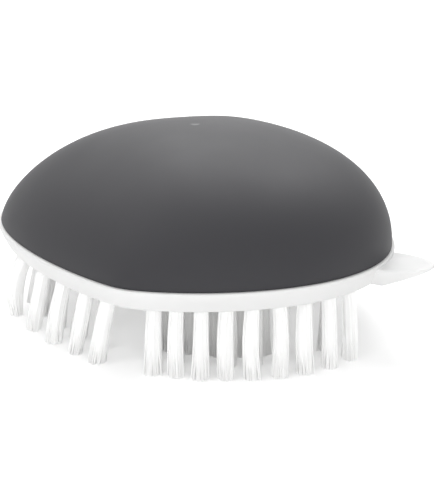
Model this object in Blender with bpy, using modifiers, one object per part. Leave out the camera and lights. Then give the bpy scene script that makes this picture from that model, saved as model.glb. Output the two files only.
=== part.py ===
"""Palm dish brush: soft grip skin, ribbed core, tufted block with a pan scraper, and its bristle tufts.

The brush stands on its trimmed bristle tips at Z = 0. Its nose points to -X and its scraper to +X, and it is
symmetric about the XZ plane but for the tail tufts, which come nearer the scraper on the -Y side. The origin is
the middle of its footprint.
"""

import math

import bmesh
import bpy
from mathutils import Vector

MM = 0.001

# Plan of the grip: two half ovals that meet at the widest station in a soft shoulder
NOSE_REACH = 46.2 * MM
TAIL_REACH = 39.8 * MM
HALF_WIDTH = 37.05 * MM
NOSE_FLANK_POWER = 1.27
TAIL_FLANK_POWER = 1.51
SHOULDER_EASE_SHARE = 0.5
PLAN_STEPS = 14

# Crown of the grip, fuller towards the tail
CROWN_HEIGHT = 22.7 * MM
CROWN_TOP_BEHIND = 1.9 * MM
PLAN_FULLNESS = 2.28
PLAN_FULLNESS_SWING = 0.21
CROWN_FULLNESS = 1.82
CROWN_FULLNESS_SWING = 0.38
CROWN_STEPS = 11
SKIRT = 1.2 * MM

# Skin and core
FIT_GAP = 0.3 * MM
SKIN_WALL = 1.5 * MM
CORE_WALL = 2.2 * MM
GATE_RADIUS = 0.9 * MM
GATE_DEPTH = 0.3 * MM
RIB_WALL = 1.4 * MM
RIB_PITCH = 10.0 * MM
RIBS_EACH_WAY = 3

# Brush block
RIM_HEIGHT = 4.24 * MM
LEDGE = 0.6 * MM
RIM_DRAFT = 1.4 * MM
RIM_FOOT_RADIUS = 0.3 * MM
RIM_TOP_RADIUS = 0.25 * MM
LAND_HEIGHT = 1.2 * MM
LAND_TAPER = 0.8 * MM

# Press posts on the block and their sockets in the core
ROUND_SIDES = 16
POST_RADIUS = 2.0 * MM
POST_HEIGHT = 5.5 * MM
POST_CHAMFER = 0.5 * MM
BOSS_WALL = 1.6 * MM
POST_SPACING_X = 40.0 * MM
POST_SPACING_Y = 30.0 * MM

# Pan scraper: a pointed blade with a hollowed top
SCRAPER_REACH = 9.1 * MM
SCRAPER_ROOT = 3.6 * MM
SCRAPER_HALF_WIDTH = 6.5 * MM
SCRAPER_TIP_THICKNESS = 0.5 * MM
SCRAPER_SCOOP = 1.1 * MM
SCRAPER_POINT_POWER = 1.6
SCRAPER_SIDE_POWER = 0.77
SCRAPER_STATIONS = 9
SCRAPER_TOP_STEPS = 8

# Tufts
TUFT_LENGTH = 14.7 * MM
TUFT_RADIUS = 1.45 * MM
HOLE_DEPTH = 3.3 * MM
TUFT_SIDES = 8
STRANDS_IN_RING = 6
STRAND_SIDES = 3
STRAND_RADIUS_SHARE = 0.31
STRAND_RING_SHARE = 0.58
TIP_RING_SHARE = 0.86
TIP_STRAND_SHARE = 0.34
TRIM_DEPTH = 0.5 * MM
NOSE_LEAN = 3.3 * MM
NOSE_FAN_POWER = 2.0
TAIL_SPLAY = 1.2 * MM

# Paths of the rows: parallel to the outline in the nose, ovals about one middle in the tail
ROW_STEP = 4.9 * MM
NOSE_ROW_EDGE = 4.5 * MM
TAIL_ROW_END_EDGE = 3.4 * MM
TAIL_ROW_SIDE_EDGE = 7.0 * MM
TAIL_MIDDLE_BEHIND = 0.9 * MM

# Tuft rows outwards from the waist: name, steps in, start and pitch as shares of the path, growth of the
# pitch, near count, far count
NOSE_ROW_SHARES = (
    ("tuft_nose_outer", 0, 0.1, 0.114, 1.14, 5, 5),
    ("tuft_nose_inner", 1, 0.177, 0.148, 1.05, 5, 5),
)
TAIL_ROW_SHARES = (
    ("tuft_tail_outer", 0, 0.087, 0.085, 1.03, 9, 5),
    ("tuft_tail_inner", 1, 0.043, 0.104, 1.035, 8, 5),
    ("tuft_tail_middle", 2, 0.058, 0.13, 1.0, 5, 3),
)

RIM_NOSE_X = -NOSE_REACH - LEDGE
SCRAPER_TIP_X = TAIL_REACH + LEDGE + SCRAPER_REACH
WIDEST_X = -(RIM_NOSE_X + SCRAPER_TIP_X) / 2
CROWN_X = WIDEST_X - CROWN_TOP_BEHIND
CORE_INSET = SKIN_WALL + FIT_GAP
LAND_INSET = CORE_INSET + CORE_WALL + FIT_GAP
UNDERSIDE_Z = TUFT_LENGTH
SEAT_Z = UNDERSIDE_Z + RIM_HEIGHT
LAND_Z = SEAT_Z + LAND_HEIGHT


def clear_scene():
    """Remove what the scene holds."""
    for item in list(bpy.data.objects):
        bpy.data.objects.remove(item, do_unlink=True)


def collection(name):
    """Make a collection in the scene."""
    made = bpy.data.collections.new(name)
    bpy.context.scene.collection.children.link(made)
    return made


def material(name, colour, roughness):
    """Make a plain moulded plastic."""
    made = bpy.data.materials.new(name)
    made.use_nodes = True
    shader = made.node_tree.nodes["Principled BSDF"]
    shader.inputs["Base Color"].default_value = (*colour, 1.0)
    shader.inputs["Roughness"].default_value = roughness
    shader.inputs["Metallic"].default_value = 0.0
    return made


def add_object(name, mesh_builder, group, surface=None):
    """Turn a bmesh into a named object of a collection."""
    mesh = bpy.data.meshes.new(name)
    bmesh.ops.recalc_face_normals(mesh_builder, faces=mesh_builder.faces)
    mesh_builder.to_mesh(mesh)
    mesh_builder.free()
    made = bpy.data.objects.new(name, mesh)
    group.objects.link(made)
    if surface:
        mesh.materials.append(surface)
    else:
        made.hide_render = True
        made.display_type = "WIRE"
    return made


def boolean(target, other, operation):
    """Cut or join with the exact solver."""
    step = target.modifiers.new(operation.title(), "BOOLEAN")
    step.operation = operation
    step.solver = "EXACT"
    step.object = other


def shade_round(item, sharp_degrees):
    """Shade smooth, with edges sharper than the angle kept crisp."""
    item.data.shade_smooth()
    item.data.set_sharp_from_angle(angle=math.radians(sharp_degrees))


def quarter_turn():
    """Even angles through a quarter turn."""
    return [math.pi / 2 * step / PLAN_STEPS for step in range(PLAN_STEPS + 1)]


def half_oval(reach, power):
    """Points of the outline from one end to the widest station on the far side."""
    return [(reach * math.cos(turn) ** (2 / power), HALF_WIDTH * math.sin(turn)) for turn in quarter_turn()]


def plan_outline(inset):
    """Outline of the grip's foot from the tail round by the far side, moved in along its normals."""
    tail = half_oval(TAIL_REACH, TAIL_FLANK_POWER)
    nose = half_oval(-NOSE_REACH, NOSE_FLANK_POWER)
    far_side = [Vector(point) for point in tail + nose[::-1][1:]]
    shoulder = (far_side[PLAN_STEPS - 1] + far_side[PLAN_STEPS + 1]) / 2
    far_side[PLAN_STEPS] = far_side[PLAN_STEPS].lerp(shoulder, SHOULDER_EASE_SHARE)
    loop = far_side + [Vector((point.x, -point.y)) for point in far_side[::-1][1:-1]]
    moved = []
    for index, point in enumerate(loop):
        along = (loop[(index + 1) % len(loop)] - loop[index - 1]).normalized()
        moved.append(Vector((WIDEST_X + point.x - along.y * inset, point.y + along.x * inset)))
    return moved


def crown_rings(inset, foot_z):
    """Rings of points up the crown, and its top point, for a surface moved in from the skin's face."""
    top = Vector((CROWN_X, 0))
    height = CROWN_HEIGHT - inset
    foot = plan_outline(inset)
    rings = [[(p.x, p.y, z) for p in foot] for z in (foot_z, SEAT_Z + SKIRT)]
    for step in range(1, CROWN_STEPS):
        rise = math.sin(math.pi / 2 * step / CROWN_STEPS)
        ring = []
        for point in foot:
            towards = (point - top).normalized().x
            fullness = CROWN_FULLNESS + CROWN_FULLNESS_SWING * towards
            plan_fullness = PLAN_FULLNESS + PLAN_FULLNESS_SWING * towards
            reach = (1 - rise**fullness) ** (1 / plan_fullness)
            place = top.lerp(point, reach)
            ring.append((place.x, place.y, SEAT_Z + height * rise))
        rings.append(ring)
    return rings, (top.x, top.y, SEAT_Z + height)


def loft(rings, top=None, closed_foot=True):
    """Skin a stack of equal rings, closed at the foot by a face and at the top by a point or a face."""
    bm = bmesh.new()
    stack = [[bm.verts.new(point) for point in ring] for ring in rings]
    for lower, upper in zip(stack, stack[1:]):
        for index in range(len(lower)):
            bm.faces.new((lower[index - 1], lower[index], upper[index], upper[index - 1]))
    if closed_foot:
        bm.faces.new(stack[0][::-1])
    if top is None:
        bm.faces.new(stack[-1])
    else:
        peak = bm.verts.new(top)
        for index in range(len(stack[-1])):
            bm.faces.new((stack[-1][index - 1], stack[-1][index], peak))
    return bm


def add_turned(bm, profile, centre, sides):
    """Add an upright turned solid from its radii and heights, foot first."""
    stack = []
    for radius, height in profile:
        turns = [2 * math.pi * side / sides for side in range(sides)]
        ring = [(centre.x + radius * math.cos(t), centre.y + radius * math.sin(t), height) for t in turns]
        stack.append([bm.verts.new(point) for point in ring])
    for lower, upper in zip(stack, stack[1:]):
        for side in range(sides):
            bm.faces.new((lower[side - 1], lower[side], upper[side], upper[side - 1]))
    bm.faces.new(stack[0][::-1])
    bm.faces.new(stack[-1])


def add_box(bm, size, centre):
    """Add a box by its size and middle."""
    made = bmesh.ops.create_cube(bm, size=1.0)
    bmesh.ops.scale(bm, verts=made["verts"], vec=size)
    bmesh.ops.translate(bm, verts=made["verts"], vec=centre)


def post_places():
    """Middles of the press posts, two each side."""
    for side_x in (-1, 1):
        for side_y in (-1, 1):
            yield Vector((WIDEST_X + side_x * POST_SPACING_X / 2, side_y * POST_SPACING_Y / 2))


def make_skin(group, cutters, surface):
    """Soft overmoulded skin, open underneath, with its moulding gate sunk in the top."""
    rings, top = crown_rings(0, SEAT_Z + FIT_GAP)
    skin = add_object("grip_skin", loft(rings, top, closed_foot=False), group, surface)
    shell = skin.modifiers.new("Wall", "SOLIDIFY")
    shell.thickness = SKIN_WALL
    shell.offset = -1
    shell.use_even_offset = True
    bm = bmesh.new()
    gate = ((GATE_RADIUS, top[2] - GATE_DEPTH), (GATE_RADIUS, top[2] + SKIN_WALL))
    add_turned(bm, gate, Vector(top), ROUND_SIDES)
    boolean(skin, add_object("gate_cut", bm, cutters), "DIFFERENCE")
    shade_round(skin, 40)
    return skin


def make_core(group, cutters, surface):
    """Hard core under the skin: a shell with cross ribs, a spine and four post sockets."""
    rings, top = crown_rings(CORE_INSET, SEAT_Z + FIT_GAP)
    core = add_object("grip_core", loft(rings, top, closed_foot=False), group, surface)
    shell = core.modifiers.new("Wall", "SOLIDIFY")
    shell.thickness = CORE_WALL
    shell.offset = -1
    shell.use_even_offset = True

    rib_foot = LAND_Z + FIT_GAP
    rib_top = SEAT_Z + CROWN_HEIGHT
    rib_mid = (rib_foot + rib_top) / 2
    rib_span = 2 * HALF_WIDTH
    spine_span = NOSE_REACH + TAIL_REACH
    bm = bmesh.new()
    for step in range(-RIBS_EACH_WAY, RIBS_EACH_WAY + 1):
        add_box(bm, (RIB_WALL, rib_span, rib_top - rib_foot), (WIDEST_X + step * RIB_PITCH, 0, rib_mid))
    ribs = add_object("ribs", bm, cutters)
    bm = bmesh.new()
    add_box(bm, (spine_span, RIB_WALL, rib_top - rib_foot), (WIDEST_X, 0, rib_mid))
    boolean(ribs, add_object("spine", bm, cutters), "UNION")
    bm = bmesh.new()
    boss_radius = POST_RADIUS + FIT_GAP + BOSS_WALL
    for place in post_places():
        add_turned(bm, ((boss_radius, rib_foot), (boss_radius, rib_top)), place, ROUND_SIDES)
    boolean(ribs, add_object("bosses", bm, cutters), "UNION")
    fill_rings, fill_top = crown_rings(CORE_INSET + CORE_WALL / 2, SEAT_Z + FIT_GAP)
    boolean(ribs, add_object("core_fill", loft(fill_rings, fill_top), cutters), "INTERSECT")
    boolean(core, ribs, "UNION")

    bm = bmesh.new()
    socket_radius = POST_RADIUS + FIT_GAP
    for place in post_places():
        socket = ((socket_radius, SEAT_Z), (socket_radius, LAND_Z + POST_HEIGHT + FIT_GAP))
        add_turned(bm, socket, place, ROUND_SIDES)
    boolean(core, add_object("socket_cuts", bm, cutters), "DIFFERENCE")
    shade_round(core, 40)
    return core


def scraper_blade():
    """Blade by cross sections from inside the block to the tip: scooped top, rising underside."""
    root_x = WIDEST_X + TAIL_REACH + LEDGE - SCRAPER_ROOT
    edge_x = root_x + SCRAPER_ROOT
    tip_z = SEAT_Z - SCRAPER_TIP_THICKNESS
    rings = []
    for station in range(SCRAPER_STATIONS):
        along = math.sin(math.pi / 2 * station / SCRAPER_STATIONS)
        x = edge_x + along * SCRAPER_REACH if station else root_x
        half_width = SCRAPER_HALF_WIDTH * (1 - along**SCRAPER_POINT_POWER) ** SCRAPER_SIDE_POWER
        floor_z = UNDERSIDE_Z + (tip_z - UNDERSIDE_Z) * along if station else UNDERSIDE_Z
        scoop = SCRAPER_SCOOP * math.sin(math.pi * along) if station else 0
        ring = [(x, -half_width, floor_z), (x, half_width, floor_z)]
        for step in range(SCRAPER_TOP_STEPS + 1):
            across = 1 - 2 * step / SCRAPER_TOP_STEPS
            ring.append((x, across * half_width, SEAT_Z - scoop * (1 - across**2)))
        rings.append(ring)
    return loft(rings, (edge_x + SCRAPER_REACH, 0, (SEAT_Z + tip_z) / 2))


def make_block(group, cutters, surface, tufts):
    """Tufted block: drafted rim, seat for the grip, land with posts, scraper and a blind hole for each tuft."""
    levels = (
        (0, RIM_DRAFT + RIM_FOOT_RADIUS),
        (RIM_FOOT_RADIUS, RIM_DRAFT),
        (RIM_HEIGHT / 2, RIM_DRAFT / 3),
        (RIM_HEIGHT - 2 * RIM_TOP_RADIUS, 0),
        (RIM_HEIGHT - RIM_TOP_RADIUS / 2, RIM_TOP_RADIUS / 3),
        (RIM_HEIGHT, RIM_TOP_RADIUS),
        (RIM_HEIGHT, LAND_INSET + LEDGE),
        (RIM_HEIGHT + LAND_HEIGHT, LAND_INSET + LEDGE + LAND_TAPER),
    )
    rings = []
    for rise, inset in levels:
        rings.append([(p.x, p.y, UNDERSIDE_Z + rise) for p in plan_outline(inset - LEDGE)])
    block = add_object("brush_block", loft(rings), group, surface)
    boolean(block, add_object("scraper", scraper_blade(), cutters), "UNION")

    bm = bmesh.new()
    post_top = LAND_Z + POST_HEIGHT
    post = (
        (POST_RADIUS, SEAT_Z),
        (POST_RADIUS, post_top - POST_CHAMFER),
        (POST_RADIUS - POST_CHAMFER, post_top),
    )
    for place in post_places():
        add_turned(bm, post, place, ROUND_SIDES)
    boolean(block, add_object("posts", bm, cutters), "UNION")

    bm = bmesh.new()
    hole_radius = TUFT_RADIUS + FIT_GAP / math.cos(math.pi / TUFT_SIDES)
    for tuft in tufts:
        start = tuft["root"] + tuft["axis"] * HOLE_DEPTH
        add_rod(bm, tuft["root"] - tuft["axis"] * HOLE_DEPTH, start, hole_radius, hole_radius, TUFT_SIDES)
    boolean(block, add_object("tuft_holes", bm, cutters), "DIFFERENCE")
    shade_round(block, 30)
    return block


def add_rod(bm, low, high, low_radius, high_radius, sides):
    """Add a straight prism between two points."""
    along = high - low
    turn = Vector((0, 0, 1)).rotation_difference(along).to_matrix().to_4x4()
    turn.translation = (low + high) / 2
    made = bmesh.ops.create_cone(
        bm,
        cap_ends=True,
        segments=sides,
        radius1=low_radius,
        radius2=high_radius,
        depth=along.length,
        matrix=turn,
    )
    return made["verts"]


def row_path(steps_in, to_nose):
    """Far half of a row, from the waist to its end."""
    if to_nose:
        return plan_outline(NOSE_ROW_EDGE + steps_in * ROW_STEP)[PLAN_STEPS : 2 * PLAN_STEPS + 1]
    middle = WIDEST_X - TAIL_MIDDLE_BEHIND
    end = WIDEST_X + TAIL_REACH - TAIL_ROW_END_EDGE - steps_in * ROW_STEP
    half_width = HALF_WIDTH - TAIL_ROW_SIDE_EDGE - steps_in * ROW_STEP
    path = []
    for turn in quarter_turn():
        path.append(Vector((middle + (end - middle) * math.sin(turn), half_width * math.cos(turn))))
    return path


def walk(path, distance):
    """Point and direction at a distance along a path."""
    for start, end in zip(path, path[1:]):
        step = (end - start).length
        if distance <= step:
            along = (end - start) / step
            return start + along * distance, along
        distance -= step
    return path[-1], (path[-1] - path[-2]).normalized()


def tuft_row(steps_in, start, pitch, growth, count, to_nose, side):
    """Root and axis of the tufts of one row on one side, outwards from the waist."""
    path = row_path(steps_in, to_nose)
    length = sum((after - before).length for before, after in zip(path, path[1:]))
    distance = start * length
    gap = pitch * length
    for _ in range(count):
        place, along = walk(path, distance)
        lean = Vector((0, 0))
        if to_nose:
            fan = ((WIDEST_X - place.x) / NOSE_REACH) ** NOSE_FAN_POWER
            outward = Vector((along.y, -along.x))
            lean = Vector((-1, 0)).lerp(outward, fan).normalized() * NOSE_LEAN
        elif steps_in == 0:
            lean = Vector((-along.y, along.x)) * TAIL_SPLAY
        root = Vector((place.x, side * place.y, UNDERSIDE_Z))
        axis = Vector((-lean.x, -side * lean.y, TUFT_LENGTH)).normalized()
        yield {"root": root, "axis": axis}
        distance += gap
        gap *= growth


def all_tufts():
    """Every tuft with its name."""
    tufts = []
    for rows, to_nose in ((NOSE_ROW_SHARES, True), (TAIL_ROW_SHARES, False)):
        for name, steps_in, start, pitch, growth, near, far in rows:
            number = 0
            for count, side in ((near, -1), (far, 1)):
                for tuft in tuft_row(steps_in, start, pitch, growth, count, to_nose, side):
                    number += 1
                    tuft["name"] = f"{name}_{number:02d}"
                    tufts.append(tuft)
    return tufts


def make_tuft(tuft, group, cutters, surface):
    """One tuft: a packed root that seats in its hole, and strands that flare to tips trimmed flat at Z = 0."""
    root, axis = tuft["root"], tuft["axis"]
    mouth = root + axis * FIT_GAP
    bm = bmesh.new()
    add_rod(bm, mouth, root + axis * (HOLE_DEPTH - FIT_GAP), TUFT_RADIUS, TUFT_RADIUS, TUFT_SIDES)
    plug = add_object(tuft["name"], bm, group, surface)

    turn = Vector((0, 0, 1)).rotation_difference(axis)
    reach = (TUFT_LENGTH + TRIM_DEPTH) / axis.z
    bm = bmesh.new()
    for strand in range(STRANDS_IN_RING + 1):
        angle = 2 * math.pi * strand / STRANDS_IN_RING
        ring = 0 if strand == STRANDS_IN_RING else 1
        across = turn @ Vector((math.cos(angle), math.sin(angle), 0)) * ring
        top = mouth + axis * FIT_GAP + across * TUFT_RADIUS * STRAND_RING_SHARE
        tip = root - axis * reach + across * TUFT_RADIUS * TIP_RING_SHARE
        tip_radius = TUFT_RADIUS * TIP_STRAND_SHARE
        add_rod(bm, tip, top, tip_radius, TUFT_RADIUS * STRAND_RADIUS_SHARE, STRAND_SIDES)
    everything = bm.verts[:] + bm.edges[:] + bm.faces[:]
    cut = bmesh.ops.bisect_plane(bm, geom=everything, plane_co=(0, 0, 0), plane_no=(0, 0, 1), clear_inner=True)
    rims = [edge for edge in cut["geom_cut"] if isinstance(edge, bmesh.types.BMEdge)]
    bmesh.ops.edgeloop_fill(bm, edges=rims)
    boolean(plug, add_object(tuft["name"] + "_strands", bm, cutters), "UNION")
    return plug


def main():
    clear_scene()
    brush = collection("dish_brush")
    cutters = collection("cutters")
    skin_rubber = material("grip_rubber", (0.06, 0.06, 0.063), 0.55)
    core_plastic = material("core_plastic", (0.5, 0.5, 0.5), 0.45)
    block_plastic = material("white_plastic", (0.85, 0.85, 0.85), 0.35)
    bristle = material("bristle", (0.88, 0.88, 0.88), 0.4)
    tufts = all_tufts()
    make_skin(brush, cutters, skin_rubber)
    make_core(brush, cutters, core_plastic)
    make_block(brush, cutters, block_plastic, tufts)
    for tuft in tufts:
        make_tuft(tuft, brush, cutters, bristle)


main()
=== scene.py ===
"""Looks of the palm dish brush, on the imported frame."""

import math
import random

import bmesh
import bpy
import numpy as np
from mathutils import Matrix, Vector


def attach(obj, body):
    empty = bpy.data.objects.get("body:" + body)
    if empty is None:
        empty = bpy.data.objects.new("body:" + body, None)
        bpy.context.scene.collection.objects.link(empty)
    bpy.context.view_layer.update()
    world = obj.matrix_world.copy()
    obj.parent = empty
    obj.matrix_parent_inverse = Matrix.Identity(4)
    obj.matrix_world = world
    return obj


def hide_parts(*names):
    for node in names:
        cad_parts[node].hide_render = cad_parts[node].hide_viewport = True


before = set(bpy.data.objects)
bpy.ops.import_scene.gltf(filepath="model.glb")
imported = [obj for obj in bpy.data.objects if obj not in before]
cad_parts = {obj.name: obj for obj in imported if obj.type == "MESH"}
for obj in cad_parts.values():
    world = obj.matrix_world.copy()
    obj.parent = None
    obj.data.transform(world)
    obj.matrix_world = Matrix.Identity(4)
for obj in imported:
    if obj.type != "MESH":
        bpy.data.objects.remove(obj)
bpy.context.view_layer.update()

MM = 0.001

# Sizes that the CAD model has too
NOSE_REACH = 46.2 * MM
TAIL_REACH = 39.8 * MM
HALF_WIDTH = 37.05 * MM
NOSE_FLANK_POWER = 1.27
TAIL_FLANK_POWER = 1.51
CROWN_HEIGHT = 22.7 * MM
CROWN_TOP_BEHIND = 1.9 * MM
PLAN_FULLNESS = 2.28
PLAN_FULLNESS_SWING = 0.21
CROWN_FULLNESS = 1.82
CROWN_FULLNESS_SWING = 0.38
SKIN_WALL = 1.5 * MM
RIM_HEIGHT = 4.24 * MM
LEDGE = 0.6 * MM
SCRAPER_REACH = 9.1 * MM
SCRAPER_ROOT = 5.0 * MM
SCRAPER_TIP_THICKNESS = 0.5 * MM
TUFT_LENGTH = 14.7 * MM
TUFT_RADIUS = 1.45 * MM

# The origin is halfway along the whole brush, on the plane of the bristle tips
WIDEST_X = (NOSE_REACH - TAIL_REACH - SCRAPER_REACH) / 2
CROWN_X = WIDEST_X - CROWN_TOP_BEHIND
UNDERSIDE_Z = TUFT_LENGTH
SEAT_Z = UNDERSIDE_Z + RIM_HEIGHT

# Plan outline, drawn fine and rounded, then thinned out
PLAN_POINTS = 240
FINE_POINTS = 2400
SHOULDER_ROUNDING = 1.3 * MM
CROWN_ROUNDING = 6.0 * MM
CROWN_ROUNDING_FROM = 0.05
CROWN_ROUNDING_TO = 0.6
ROUNDING_SPAN = 3

# Grip skin, whose last rings lie at shares of the plan
CROWN_RINGS = 44
CROWN_LAST_TURN = 80
TOP_SHARES = (0.18, 0.155, 0.13, 0.11, 0.09, 0.072, 0.056, 0.044)
FOOT_GAP = 0.05 * MM
FOOT_ROUNDING = 0.15 * MM
FOOT_STEPS = 4
MERGE_DISTANCE = 1e-7
GRIP_SHARP_ANGLE = 50

# Gate mark
GATE_RINGS = 14
GATE_RADIUS = 1.1 * MM
GATE_FLOOR_RADIUS = 0.1 * MM
GATE_DEPTH = 0.12 * MM
GATE_SHINE_FROM = 0.3 * MM
GATE_SHINE_TO = 1.3 * MM
GATE_SHINE_SHARE = 0.6

# Brush block. Its rim profile gives rise and inset in mm, first up its side and over its edge
RIM_PROFILE = (
    (0.0, 2.05),
    (0.06, 1.78),
    (0.18, 1.6),
    (0.36, 1.48),
    (0.8, 1.26),
    (1.6, 0.85),
    (2.4, 0.46),
    (3.1, 0.17),
    (3.6, 0.03),
    (3.86, 0.0),
    (4.04, 0.03),
    (4.15, 0.1),
    (4.22, 0.22),
    (4.24, 0.38),
    (4.24, 4.9),
    (4.9, 5.2),
)
RIM_EDGE_POINTS = 14
BLOCK_SHARP_ANGLE = 32

# Hole of a tuft, from its chamfered mouth
HOLE_SIDES = 20
HOLE_DEPTH = 1.1 * MM
HOLE_RADIUS = 1.6 * MM
HOLE_MOUTH_RADIUS = 1.8 * MM
HOLE_MOUTH_DEPTH = 0.2 * MM

# Scraper, whose top drops under the rim by one amount at its root and another at its tip
SCRAPER_STATIONS = 30
SCRAPER_SIDE_STEPS = 9
SCRAPER_TOP_STEPS = 24
SCRAPER_HALF_WIDTH = 5.75 * MM
SCRAPER_POINT_POWER = 1.65
SCRAPER_SIDE_POWER = 0.5
SCRAPER_TOP_DROPS = (0.6 * MM, 0.15 * MM)
SCRAPER_DRAFT_SHARE = 0.7
SCRAPER_MOST_INSET_SHARE = 0.5
SCRAPER_SCOOP = 0.75 * MM
SCOOP_LIP_SHARE = 0.86
SCOOP_MIDDLE = 0.49
SCOOP_REACH = 0.44
SCRAPER_SLOPE_STEP = 0.02 * MM

# Bristles. A solid's root and tip are the middles of its points within a band
ROOT_BAND = 0.6 * MM
TIP_BAND = 0.15 * MM
FILAMENTS = 91
FILAMENT_SIDES = 4
FILAMENT_RADIUS = 0.125 * MM
FILAMENT_STEPS = 6
FILAMENT_ROOT_DEPTH = 0.8 * MM
GOLDEN_ANGLE = math.pi * (3 - math.sqrt(5))
FLARE_SHARES = (0.1, 0.42)
BELLY_SHARES = (0.0, 0.16)
LEAN_SET_SHARE = 0.12
BEND = 0.35 * MM
TIP_SCATTER = 0.16 * MM
TIP_WEAR = 0.7 * MM
TIP_WEAR_POWER = 3
STRAY_SHARE = 0.12
STRAY_SCATTER = 0.55 * MM
TUFT_SHARP_ANGLE = 80
BRISTLE_SEED = 7

# Two tufts are pressed outwards by use
PRESSED_TUFTS = ("tuft_nose_outer_05", "tuft_nose_outer_10")
PRESSED_BEND_SHARE = 0.3
PRESSED_BELLY_SHARE = 0.4

# Dense heart of a tuft, which no light passes
HEART_SIDES = 16
HEART_REACH_SHARE = 0.965
HEART_RADIUS_SHARE = 0.89
HEART_TAPER_POWER = 8
HEART_END_SHARE = 0.5

# Surfaces: colours and roughness between two places of a noise, whose scale counts to a metre
CLOUD_FROM = 0.3
CLOUD_TO = 0.7
CLOUD_DETAIL = 3
GRAIN_DETAIL = 2
RUBBER_COLOURS = ((0.01, 0.0097, 0.0132), (0.0125, 0.0121, 0.0157))
RUBBER_ROUGHNESS = (0.57, 0.63)
RUBBER_SPECULAR = 0.68
RUBBER_CLOUD_SCALE = 60
RUBBER_GRAIN_SCALE = 5200
RUBBER_GRAIN_DEPTH = 0.02 * MM
RUBBER_GRAIN_STRENGTH = 0.5
PLASTIC_COLOURS = ((0.805, 0.805, 0.8), (0.83, 0.83, 0.83))
PLASTIC_ROUGHNESS = (0.4, 0.48)
PLASTIC_SPECULAR = 0.25
PLASTIC_CLOUD_SCALE = 90
PLASTIC_GRAIN_SCALE = 2400
PLASTIC_GRAIN_DEPTH = 0.01 * MM
PLASTIC_GRAIN_STRENGTH = 0.3
CORE_COLOURS = ((0.46, 0.46, 0.46), (0.52, 0.52, 0.52))
CORE_ROUGHNESS = 0.45
CORE_CLOUD_SCALE = 120
NYLON_COLOURS = ((0.96, 0.96, 0.955), (0.975, 0.975, 0.975))
NYLON_ROUGHNESS = 0.35
NYLON_CLOUD_SCALE = 700
NYLON_CLOUD_DETAIL = 2

# Camera of the photograph, 435 by 495 pixels
PHOTO_HEIGHT = 495
FOCAL_PIXELS = 1300
CAMERA_AZIMUTH = 25.16
CAMERA_ELEVATION = 19.0
CAMERA_DISTANCE = 0.272964
CAMERA_SIDE = -0.94 * MM
PRINCIPAL_X = -18.184
PRINCIPAL_Y = -18.036
SENSOR = 36.0
CLIP_START = 0.01
LIGHT_BOUNCES = 16

# Soft boxes: azimuth, elevation, power, and whether they light matt surfaces and show in a gloss
LAMP_SIZE = 0.6
LAMP_DISTANCE = 1.1
LAMPS = (
    ("front_low", 25, 15, 4.2, True, False),
    ("front", 25, 45, 0.6, True, False),
    ("left", -30, 45, 1.9, True, True),
    ("right", 95, 45, 0.9, True, False),
    ("behind_low", 205, 20, 0.8, True, True),
    ("behind", 205, 45, 1.5, True, True),
    ("behind_high", 200, 65, 2.8, True, True),
    ("behind_left", 248, 50, 1.9, True, True),
    ("behind_right", 160, 54, 3.3, False, True),
    ("above", 200, 70, 1.4, True, False),
)
AMBIENT = 0.38

# Floor, whose glow grows to white between two distances
FLOOR_HALF_SIZE = 1.5
FLOOR_DROP = 0.02 * MM
FLOOR_COLOUR = (0.95, 0.95, 0.95, 1)
FLOOR_ROUGHNESS = 0.9
FLOOR_GLOW = 0.26
FAR_FLOOR_FROM = 0.35
FAR_FLOOR_TO = 0.8
WHITE = (1, 1, 1, 1)

rng = random.Random(BRISTLE_SEED)


def collection(name):
    made = bpy.data.collections.new(name)
    bpy.context.scene.collection.children.link(made)
    return made


def smooth_step(value, low, high):
    share = np.clip((value - low) / (high - low), 0, 1)
    return share * share * (3 - 2 * share)


def resample(points, count):
    """Even steps along a closed loop."""
    closed = np.vstack([points, points[:1]])
    steps = np.hypot(*np.diff(closed, axis=0).T)
    along = np.concatenate([[0], np.cumsum(steps)])
    marks = np.linspace(0, along[-1], count, endpoint=False)
    return np.stack([np.interp(marks, along, closed[:, axis]) for axis in (0, 1)], axis=1)


def rounded(points, reach):
    """Closed loop averaged over a reach along itself."""
    step = np.hypot(*(points[1] - points[0]))
    half = int(ROUNDING_SPAN * reach / step) + 1
    offsets = np.arange(-half, half + 1)
    weights = np.exp(-((offsets * step / reach) ** 2) / 2)
    weights /= weights.sum()
    moved = np.zeros_like(points)
    for offset, weight in zip(offsets, weights):
        moved += weight * np.roll(points, offset, axis=0)
    return moved


def normals(loop):
    """Outward normals of an anticlockwise closed loop."""
    along = np.roll(loop, -1, axis=0) - np.roll(loop, 1, axis=0)
    along /= np.hypot(*along.T)[:, None]
    return np.stack([along[:, 1], -along[:, 0]], axis=1)


def plan_loops():
    """Outline of the grip's foot, and the softer one that its crown turns into."""
    turn = np.linspace(0, math.pi / 2, FINE_POINTS // 4)
    across = HALF_WIDTH * np.sin(turn)
    tail = np.stack([TAIL_REACH * np.cos(turn) ** (2 / TAIL_FLANK_POWER), across], axis=1)
    nose = np.stack([-NOSE_REACH * np.cos(turn) ** (2 / NOSE_FLANK_POWER), across], axis=1)
    far_side = np.vstack([tail, nose[::-1][1:]])
    near_side = far_side[::-1][1:-1] * (1, -1)
    fine = resample(np.vstack([far_side, near_side]), FINE_POINTS)
    foot = rounded(fine, SHOULDER_ROUNDING)
    soft = rounded(fine, CROWN_ROUNDING)
    shrinkage = np.hypot(*(rounded(soft, CROWN_ROUNDING) - soft).T)
    crown = soft + normals(soft) * shrinkage[:, None]
    step = FINE_POINTS // PLAN_POINTS
    middle = np.array([WIDEST_X, 0])
    return foot[::step] + middle, crown[::step] + middle


PLAN_FOOT, PLAN_CROWN = plan_loops()
PLAN_NORMALS = normals(PLAN_FOOT)


def plan_ring(inset, height):
    loop = PLAN_FOOT - PLAN_NORMALS * inset
    return [(x, y, height) for x, y in loop]


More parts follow.
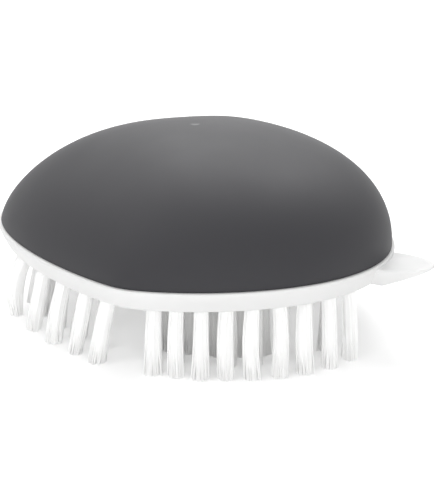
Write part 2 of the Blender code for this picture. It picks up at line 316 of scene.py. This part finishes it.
def skin(bm, rings):
    """Faces between rings of vertices, each with as many as the next."""
    for lower, upper in zip(rings, rings[1:]):
        for index in range(len(lower)):
            bm.faces.new((lower[index - 1], lower[index], upper[index], upper[index - 1]))


def loft(rings, top=None, closed_foot=True, bm=None):
    """Skin a stack of equal rings, closed at the top by a point or a face, in a new mesh or a given one."""
    if bm is None:
        bm = bmesh.new()
    stack = [[bm.verts.new(point) for point in ring] for ring in rings]
    skin(bm, stack)
    last = stack[-1]
    if closed_foot:
        bm.faces.new(stack[0][::-1])
    if top is None:
        bm.faces.new(last)
    else:
        peak = bm.verts.new(top)
        for index in range(len(last)):
            bm.faces.new((last[index - 1], last[index], peak))
    return bm


def add_object(name, bm, group):
    mesh = bpy.data.meshes.new(name)
    bmesh.ops.recalc_face_normals(bm, faces=bm.faces)
    bm.to_mesh(mesh)
    bm.free()
    made = bpy.data.objects.new(name, mesh)
    group.objects.link(made)
    return made


def smooth_shading(item, sharp_degrees):
    item.data.shade_smooth()
    item.data.set_sharp_from_angle(angle=math.radians(sharp_degrees))


def piece(item, nodes, surface):
    """Give a piece its material, body, slot and the nodes that it stands for."""
    item.data.materials.clear()
    item.data.materials.append(surface)
    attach(item, "root")
    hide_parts(*nodes)


def crown_rings(inset):
    """Rings of the crown from its foot to the rim of the gate, and its top, for a surface moved in."""
    top = np.array([CROWN_X, 0])
    foot = PLAN_FOOT - PLAN_NORMALS * inset
    crown = PLAN_CROWN - PLAN_NORMALS * inset
    height = CROWN_HEIGHT - inset
    towards = (foot - top)[:, 0] / np.hypot(*(foot - top).T)
    fullness = CROWN_FULLNESS + CROWN_FULLNESS_SWING * towards
    plan_fullness = PLAN_FULLNESS + PLAN_FULLNESS_SWING * towards
    rings = []

    def add_ring(reach, rise):
        soft = smooth_step(rise, CROWN_ROUNDING_FROM, CROWN_ROUNDING_TO)
        soft = np.broadcast_to(soft, reach.shape)[:, None]
        loop = top + ((foot - top) * (1 - soft) + (crown - top) * soft) * reach[:, None]
        heights = SEAT_Z + height * np.broadcast_to(rise, reach.shape)
        rings.append([(x, y, z) for (x, y), z in zip(loop, heights)])

    for step in range(1, CROWN_RINGS + 1):
        rise = math.sin(math.radians(CROWN_LAST_TURN) * step / CROWN_RINGS)
        add_ring((1 - rise**fullness) ** (1 / plan_fullness), rise)
    for share in TOP_SHARES:
        reach = np.full(PLAN_POINTS, share)
        add_ring(reach, (1 - reach**plan_fullness) ** (1 / fullness))
    return rings, (top[0], top[1], SEAT_Z + height)


def foot_rings(foot_z):
    """Rounded foot of the skin, from its inner edge to its side."""
    rings = [plan_ring(SKIN_WALL, foot_z)]
    for step in range(FOOT_STEPS + 1):
        turn = math.pi / 2 * step / FOOT_STEPS
        inset = FOOT_ROUNDING * (1 - math.sin(turn))
        rings.append(plan_ring(inset, foot_z + FOOT_ROUNDING * (1 - math.cos(turn))))
    return rings


def gate_rings(last_ring, top):
    """Rings that sink into the gate mark, and the middle of its floor."""
    middle = np.array(top)
    rim = np.array(last_ring) - middle
    rings = []
    for step in range(1, GATE_RINGS + 1):
        share = 1 - step / (GATE_RINGS + 1)
        reach = np.hypot(rim[:, 0], rim[:, 1]) * share
        sink = GATE_DEPTH * (1 - smooth_step(reach, GATE_FLOOR_RADIUS, GATE_RADIUS))
        heights = middle[2] + rim[:, 2] * share**PLAN_FULLNESS - sink
        loop = middle[:2] + rim[:, :2] * share
        rings.append([(x, y, z) for (x, y), z in zip(loop, heights)])
    return rings, (top[0], top[1], top[2] - GATE_DEPTH)


def make_grip(group, surface):
    """Soft skin as a closed shell with a rounded foot and a sunk gate mark."""
    outer, top = crown_rings(0)
    inner, inner_top = crown_rings(SKIN_WALL)
    sunk, gate_floor = gate_rings(outer[-1], top)
    foot_z = SEAT_Z + FOOT_GAP
    bm = loft(foot_rings(foot_z) + outer + sunk, gate_floor, closed_foot=False)
    loft([plan_ring(SKIN_WALL, foot_z)] + inner, inner_top, closed_foot=False, bm=bm)
    bmesh.ops.remove_doubles(bm, verts=bm.verts, dist=MERGE_DISTANCE)
    grip = add_object("grip_skin_soft", bm, group)
    smooth_shading(grip, GRIP_SHARP_ANGLE)
    piece(grip, ["grip_skin"], surface)


def scraper_ring(x, half_width, slope, floor_z, top_z, along):
    """Section of the scraper: sides drafted as the rim's are, square to its outline, and a scooped top."""
    rises, insets = zip(*RIM_PROFILE[:RIM_EDGE_POINTS])
    ahead, aside = np.array([-slope, 1]) / math.hypot(slope, 1)
    side = []
    for step in range(SCRAPER_SIDE_STEPS + 1):
        share = step / SCRAPER_SIDE_STEPS
        z = floor_z + (top_z - floor_z) * share
        rise = (floor_z - UNDERSIDE_Z + (SEAT_Z - floor_z) * share) / MM
        draft = np.interp(rise, rises, insets) * MM * SCRAPER_DRAFT_SHARE
        inset = min(draft, half_width * SCRAPER_MOST_INSET_SHARE)
        side.append((x - inset * ahead, half_width - inset * aside, z))
    ring = [(x, -y, z) for x, y, z in side[::-1]] + side
    edge_x, edge_y, edge_z = side[-1]
    for step in range(1, SCRAPER_TOP_STEPS):
        across = 1 - 2 * step / SCRAPER_TOP_STEPS
        off_middle = (across / SCOOP_LIP_SHARE) ** 2 + ((along - SCOOP_MIDDLE) / SCOOP_REACH) ** 2
        ring.append((edge_x, across * edge_y, edge_z - SCRAPER_SCOOP * max(1 - off_middle, 0)))
    return ring


def scraper_half_width(reach):
    along = max(reach, 0) / SCRAPER_REACH
    return SCRAPER_HALF_WIDTH * (1 - along**SCRAPER_POINT_POWER) ** SCRAPER_SIDE_POWER


def scraper_blade():
    """Blunt blade from inside the block to its tip, its top a little under the rim's."""
    edge_x = WIDEST_X + TAIL_REACH + LEDGE
    tip_z = SEAT_Z - SCRAPER_TIP_THICKNESS
    root_drop, tip_drop = SCRAPER_TOP_DROPS
    turns = [math.pi / 2 * station / SCRAPER_STATIONS for station in range(SCRAPER_STATIONS)]
    reaches = [-SCRAPER_ROOT] + [SCRAPER_REACH * math.sin(turn) for turn in turns]
    rings = []
    for reach in reaches:
        near, far = reach - SCRAPER_SLOPE_STEP, min(reach + SCRAPER_SLOPE_STEP, SCRAPER_REACH)
        slope = (scraper_half_width(far) - scraper_half_width(near)) / (far - near)
        along = max(reach, 0) / SCRAPER_REACH
        floor_z = UNDERSIDE_Z + (tip_z - UNDERSIDE_Z) * along
        top_z = SEAT_Z - root_drop + (root_drop - tip_drop) * along
        rings.append(scraper_ring(edge_x + reach, scraper_half_width(reach), slope, floor_z, top_z, along))
    return loft(rings, (edge_x + SCRAPER_REACH, 0, (SEAT_Z - tip_drop + tip_z) / 2))


def tuft_line(name):
    """Middle of a tuft's root and of its trimmed tip, from its solid."""
    points = np.array([vertex.co[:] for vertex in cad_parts[name].data.vertices])
    high = points[:, 2].max()
    tip = points[points[:, 2] < TIP_BAND].mean(axis=0)
    head = points[points[:, 2] > high - ROOT_BAND].mean(axis=0)
    tip[2] = 0
    share = (UNDERSIDE_Z - head[2]) / (tip[2] - head[2])
    return Vector(head + (tip - head) * share), Vector(tip)


def upright_to(axis):
    """Turn that takes the upright to an axis."""
    return Vector((0, 0, 1)).rotation_difference(axis)


def hole_cutters(lines):
    """Stepped plug in every hole, on the axis of its tuft."""
    profile = (
        (HOLE_MOUTH_RADIUS, -HOLE_MOUTH_DEPTH),
        (HOLE_MOUTH_RADIUS, 0),
        (HOLE_RADIUS, HOLE_MOUTH_DEPTH),
        (HOLE_RADIUS, HOLE_DEPTH),
    )
    angles = [2 * math.pi * side / HOLE_SIDES for side in range(HOLE_SIDES)]
    bm = bmesh.new()
    for root, tip in lines.values():
        turn = upright_to((root - tip).normalized())
        rings = []
        for radius, depth in profile:
            places = [Vector((radius * math.cos(a), radius * math.sin(a), depth)) for a in angles]
            rings.append([root + turn @ place for place in places])
        loft(rings, bm=bm)
    return bm


def make_block(group, surface, lines):
    """Rim with a soft profile, underside with a hole for each tuft, and the scraper in one moulding."""
    rings = [plan_ring(inset * MM - LEDGE, UNDERSIDE_Z + rise * MM) for rise, inset in RIM_PROFILE]
    block = add_object("brush_block_moulding", loft(rings), group)
    blade = add_object("scraper_cutter", scraper_blade(), group)
    holes = add_object("holes_cutter", hole_cutters(lines), group)
    for other, operation in ((blade, "UNION"), (holes, "DIFFERENCE")):
        step = block.modifiers.new(operation.title(), "BOOLEAN")
        step.operation = operation
        step.solver = "EXACT"
        step.object = other
    graph = bpy.context.evaluated_depsgraph_get()
    done = bpy.data.meshes.new_from_object(block.evaluated_get(graph))
    block.modifiers.clear()
    block.data = done
    for other in (blade, holes):
        bpy.data.objects.remove(other, do_unlink=True)
    smooth_shading(block, BLOCK_SHARP_ANGLE)
    piece(block, ["brush_block"], surface)


def tube(bm, centres, radii, sides, twist=0):
    """Closed tube of level rings along a line of centres, from the top down."""
    angles = [twist + 2 * math.pi * side / sides for side in range(sides)]
    ways = [Vector((math.cos(angle), math.sin(angle), 0)) for angle in angles]
    rings = []
    for centre, radius in zip(centres, radii):
        rings.append([bm.verts.new(centre + way * radius) for way in ways])
    skin(bm, rings[::-1])
    bm.faces.new(rings[0])
    bm.faces.new(rings[-1][::-1])


def sideways():
    """Random level vector, up to one along each axis."""
    return Vector((rng.uniform(-1, 1), rng.uniform(-1, 1), 0))


def make_tuft(name, root, tip, group, surface):
    """Bundle of fine filaments round a dense heart, packed at the root, flared and worn at the tips."""
    axis = (root - tip).normalized()
    turn = upright_to(axis)
    start = root + axis * FILAMENT_ROOT_DEPTH
    lean = Vector((tip.x - root.x, tip.y - root.y, 0))
    bend = lean * LEAN_SET_SHARE + sideways() * BEND
    belly = rng.uniform(*BELLY_SHARES)
    flare = rng.uniform(*FLARE_SHARES)
    if name in PRESSED_TUFTS:
        bend += lean * PRESSED_BEND_SHARE
        belly += PRESSED_BELLY_SHARE
        flare = 0
    steps = [step / FILAMENT_STEPS for step in range(FILAMENT_STEPS + 1)]

    def swell(along):
        return 1 + flare * along**2 + belly * math.sin(math.pi * along)

    def middle(along, end):
        return start.lerp(end, along) + bend * math.sin(math.pi * along)

    bm = bmesh.new()
    for index in range(FILAMENTS):
        share = math.sqrt((index + 0.5) / FILAMENTS)
        angle = index * GOLDEN_ANGLE
        across = turn @ Vector((math.cos(angle), math.sin(angle), 0))
        across *= (TUFT_RADIUS - FILAMENT_RADIUS) * share
        scatter = STRAY_SCATTER if rng.random() < STRAY_SHARE else TIP_SCATTER
        wander = sideways() * scatter
        end = Vector(tip)
        end.z = TIP_WEAR * rng.random() ** TIP_WEAR_POWER if index else 0
        centres = [middle(along, end) + across * swell(along) + wander * along**2 for along in steps]
        centres[-1].z = end.z
        tube(bm, centres, [FILAMENT_RADIUS] * len(steps), FILAMENT_SIDES, rng.uniform(0, 2 * math.pi))

    shares = [along * HEART_REACH_SHARE for along in steps]
    widths = [swell(along) * (1 - along**HEART_TAPER_POWER) for along in shares[:-1]]
    radii = [TUFT_RADIUS * HEART_RADIUS_SHARE * width for width in widths]
    radii.append(radii[-1] * HEART_END_SHARE)
    tube(bm, [middle(along, tip) for along in shares], radii, HEART_SIDES)
    tuft = add_object(name + "_bristles", bm, group)
    smooth_shading(tuft, TUFT_SHARP_ANGLE)
    piece(tuft, [name], surface)


def new_material(name):
    made = bpy.data.materials.new(name)
    made.use_nodes = True
    tree = made.node_tree
    return made, tree, tree.nodes["Principled BSDF"]


def noise(tree, scale, detail):
    place = tree.nodes.new("ShaderNodeTexCoord")
    made = tree.nodes.new("ShaderNodeTexNoise")
    made.inputs["Scale"].default_value = scale
    made.inputs["Detail"].default_value = detail
    tree.links.new(place.outputs["Object"], made.inputs["Vector"])
    return made.outputs["Fac"]


def ramp(tree, cloud, first, last):
    """Colours across a cloud, from its low places to its high ones."""
    made = tree.nodes.new("ShaderNodeValToRGB")
    low, high = made.color_ramp.elements
    low.position = CLOUD_FROM
    high.position = CLOUD_TO
    low.color = (*first, 1)
    high.color = (*last, 1)
    tree.links.new(cloud, made.inputs["Fac"])
    return made.outputs["Color"]


def grey_ramp(tree, cloud, shares):
    first, last = shares
    return ramp(tree, cloud, (first,) * 3, (last,) * 3)


def combined(tree, operation, first, second):
    """Two numbers joined by a Math node."""
    made = tree.nodes.new("ShaderNodeMath")
    made.operation = operation
    tree.links.new(first, made.inputs[0])
    tree.links.new(second, made.inputs[1])
    return made.outputs[0]


def ranged(tree, centre, reaches, values, interpolation):
    """Number that goes from one value to another with the distance from a point."""
    place = tree.nodes.new("ShaderNodeTexCoord")
    distance = tree.nodes.new("ShaderNodeVectorMath")
    distance.operation = "DISTANCE"
    distance.inputs[1].default_value = centre
    tree.links.new(place.outputs["Object"], distance.inputs[0])
    made = tree.nodes.new("ShaderNodeMapRange")
    made.interpolation_type = interpolation
    sockets = ("From Min", "From Max", "To Min", "To Max")
    for socket, value in zip(sockets, (*reaches, *values)):
        made.inputs[socket].default_value = value
    tree.links.new(distance.outputs["Value"], made.inputs["Value"])
    return made.outputs["Result"]


def clouded(name, scale, detail, colours):
    """New material whose colour drifts in soft clouds, with its nodes, its shader and the cloud."""
    made, tree, shader = new_material(name)
    cloud = noise(tree, scale, detail)
    tree.links.new(ramp(tree, cloud, *colours), shader.inputs["Base Color"])
    return made, tree, shader, cloud


def add_grain(tree, shader, scale, depth, strength):
    """Fine bump all over a surface."""
    made = tree.nodes.new("ShaderNodeBump")
    made.inputs["Distance"].default_value = depth
    made.inputs["Strength"].default_value = strength
    tree.links.new(noise(tree, scale, GRAIN_DETAIL), made.inputs["Height"])
    tree.links.new(made.outputs["Normal"], shader.inputs["Normal"])


def grip_rubber():
    """Satin rubber with a fine grain, smoother where the gate was cut off."""
    made, tree, shader, cloud = clouded("grip_rubber", RUBBER_CLOUD_SCALE, CLOUD_DETAIL, RUBBER_COLOURS)
    gate = (CROWN_X, 0, SEAT_Z + CROWN_HEIGHT)
    shine_reaches = (GATE_SHINE_FROM, GATE_SHINE_TO)
    polish = ranged(tree, gate, shine_reaches, (GATE_SHINE_SHARE, 1), "SMOOTHSTEP")
    rough = combined(tree, "MULTIPLY", grey_ramp(tree, cloud, RUBBER_ROUGHNESS), polish)
    tree.links.new(rough, shader.inputs["Roughness"])
    shader.inputs["Specular IOR Level"].default_value = RUBBER_SPECULAR
    add_grain(tree, shader, RUBBER_GRAIN_SCALE, RUBBER_GRAIN_DEPTH, RUBBER_GRAIN_STRENGTH)
    return made


def white_plastic():
    """White moulding with a faint grain."""
    made, tree, shader, cloud = clouded("white_plastic", PLASTIC_CLOUD_SCALE, CLOUD_DETAIL, PLASTIC_COLOURS)
    tree.links.new(grey_ramp(tree, cloud, PLASTIC_ROUGHNESS), shader.inputs["Roughness"])
    shader.inputs["Specular IOR Level"].default_value = PLASTIC_SPECULAR
    add_grain(tree, shader, PLASTIC_GRAIN_SCALE, PLASTIC_GRAIN_DEPTH, PLASTIC_GRAIN_STRENGTH)
    return made


def core_plastic():
    """Grey moulding of the hidden core."""
    made, _, shader, _ = clouded("core_plastic_moulded", CORE_CLOUD_SCALE, CLOUD_DETAIL, CORE_COLOURS)
    shader.inputs["Roughness"].default_value = CORE_ROUGHNESS
    return made


def bristle_nylon():
    """White nylon of the filaments."""
    made, _, shader, _ = clouded("bristle_nylon", NYLON_CLOUD_SCALE, NYLON_CLOUD_DETAIL, NYLON_COLOURS)
    shader.inputs["Roughness"].default_value = NYLON_ROUGHNESS
    return made


def direction(azimuth, elevation):
    """Way out from the brush, in degrees from its near long side towards the tail, and up."""
    around, rise = math.radians(azimuth), math.radians(elevation)
    return Vector((math.sin(around) * math.cos(rise), -math.cos(around) * math.cos(rise), math.sin(rise)))


def add_camera():
    back = direction(CAMERA_AZIMUTH, CAMERA_ELEVATION)
    around = math.radians(CAMERA_AZIMUTH)
    right = Vector((math.cos(around), math.sin(around), 0))
    place = Matrix((right, back.cross(right), back)).transposed().to_4x4()
    place.translation = Vector((WIDEST_X + CAMERA_SIDE, 0, SEAT_Z)) + back * CAMERA_DISTANCE
    camera = bpy.data.cameras.new("camera")
    camera.sensor_fit = "VERTICAL"
    camera.sensor_height = SENSOR
    camera.lens = FOCAL_PIXELS / PHOTO_HEIGHT * SENSOR
    camera.shift_x = -PRINCIPAL_X / PHOTO_HEIGHT
    camera.shift_y = PRINCIPAL_Y / PHOTO_HEIGHT
    camera.clip_start = CLIP_START
    item = bpy.data.objects.new("camera", camera)
    item.matrix_world = place
    bpy.context.scene.collection.objects.link(item)
    bpy.context.scene.camera = item


def add_light(name, azimuth, elevation, power, in_matt, in_gloss):
    """Square soft box at one distance, aimed at the brush."""
    lamp = bpy.data.lights.new(name, "AREA")
    lamp.energy = power
    lamp.size = LAMP_SIZE
    item = bpy.data.objects.new(name, lamp)
    way = direction(azimuth, elevation)
    item.location = Vector((0, 0, SEAT_Z)) + way * LAMP_DISTANCE
    item.rotation_euler = way.to_track_quat("Z", "Y").to_euler()
    item.visible_diffuse = in_matt
    item.visible_glossy = in_gloss
    bpy.context.scene.collection.objects.link(item)


def backdrop_rays(tree):
    """One where a ray from the camera, a gloss or a clear material looks, else zero."""
    path = tree.nodes.new("ShaderNodeLightPath")
    seen = combined(tree, "MAXIMUM", path.outputs["Is Camera Ray"], path.outputs["Is Glossy Ray"])
    return combined(tree, "MAXIMUM", seen, path.outputs["Is Transmission Ray"])


def add_world():
    """Even dim light, and a white backdrop for the rays that look at it."""
    world = bpy.data.worlds.new("studio")
    bpy.context.scene.world = world
    world.use_nodes = True
    tree = world.node_tree
    ambient = tree.nodes["Background"]
    ambient.inputs["Color"].default_value = WHITE
    ambient.inputs["Strength"].default_value = AMBIENT
    white = tree.nodes.new("ShaderNodeBackground")
    white.inputs["Color"].default_value = WHITE
    white.inputs["Strength"].default_value = 1
    mix = tree.nodes.new("ShaderNodeMixShader")
    tree.links.new(backdrop_rays(tree), mix.inputs["Fac"])
    tree.links.new(ambient.outputs[0], mix.inputs[1])
    tree.links.new(white.outputs[0], mix.inputs[2])
    tree.links.new(mix.outputs[0], tree.nodes["World Output"].inputs["Surface"])


def add_floor(group):
    """White floor that keeps the shadow near the brush and turns into the backdrop further out."""
    bm = bmesh.new()
    bmesh.ops.create_grid(bm, x_segments=1, y_segments=1, size=FLOOR_HALF_SIZE)
    floor = add_object("floor", bm, group)
    floor.location.z = -FLOOR_DROP
    made, tree, shader = new_material("floor_white")
    shader.inputs["Base Color"].default_value = FLOOR_COLOUR
    shader.inputs["Roughness"].default_value = FLOOR_ROUGHNESS
    shader.inputs["Specular IOR Level"].default_value = 0
    shader.inputs["Emission Color"].default_value = WHITE
    glow = ranged(tree, (0, 0, 0), (FAR_FLOOR_FROM, FAR_FLOOR_TO), (FLOOR_GLOW, 1), "LINEAR")
    seen = combined(tree, "MULTIPLY", backdrop_rays(tree), glow)
    tree.links.new(seen, shader.inputs["Emission Strength"])
    floor.data.materials.append(made)


def main():
    looks = collection("looks")
    tufts = [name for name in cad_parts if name.startswith("tuft_")]
    lines = {name: tuft_line(name) for name in sorted(tufts)}
    make_grip(looks, grip_rubber())
    make_block(looks, white_plastic(), lines)
    bristle = bristle_nylon()
    for name, (root, tip) in lines.items():
        make_tuft(name, root, tip, looks, bristle)
    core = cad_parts["grip_core"]
    core.data.materials.clear()
    core.data.materials.append(core_plastic())

    add_camera()
    add_floor(looks)
    add_world()
    for lamp in LAMPS:
        add_light(*lamp)
    scene = bpy.context.scene
    scene.cycles.diffuse_bounces = LIGHT_BOUNCES
    scene.cycles.max_bounces = LIGHT_BOUNCES
    scene.view_settings.view_transform = "Standard"


main()
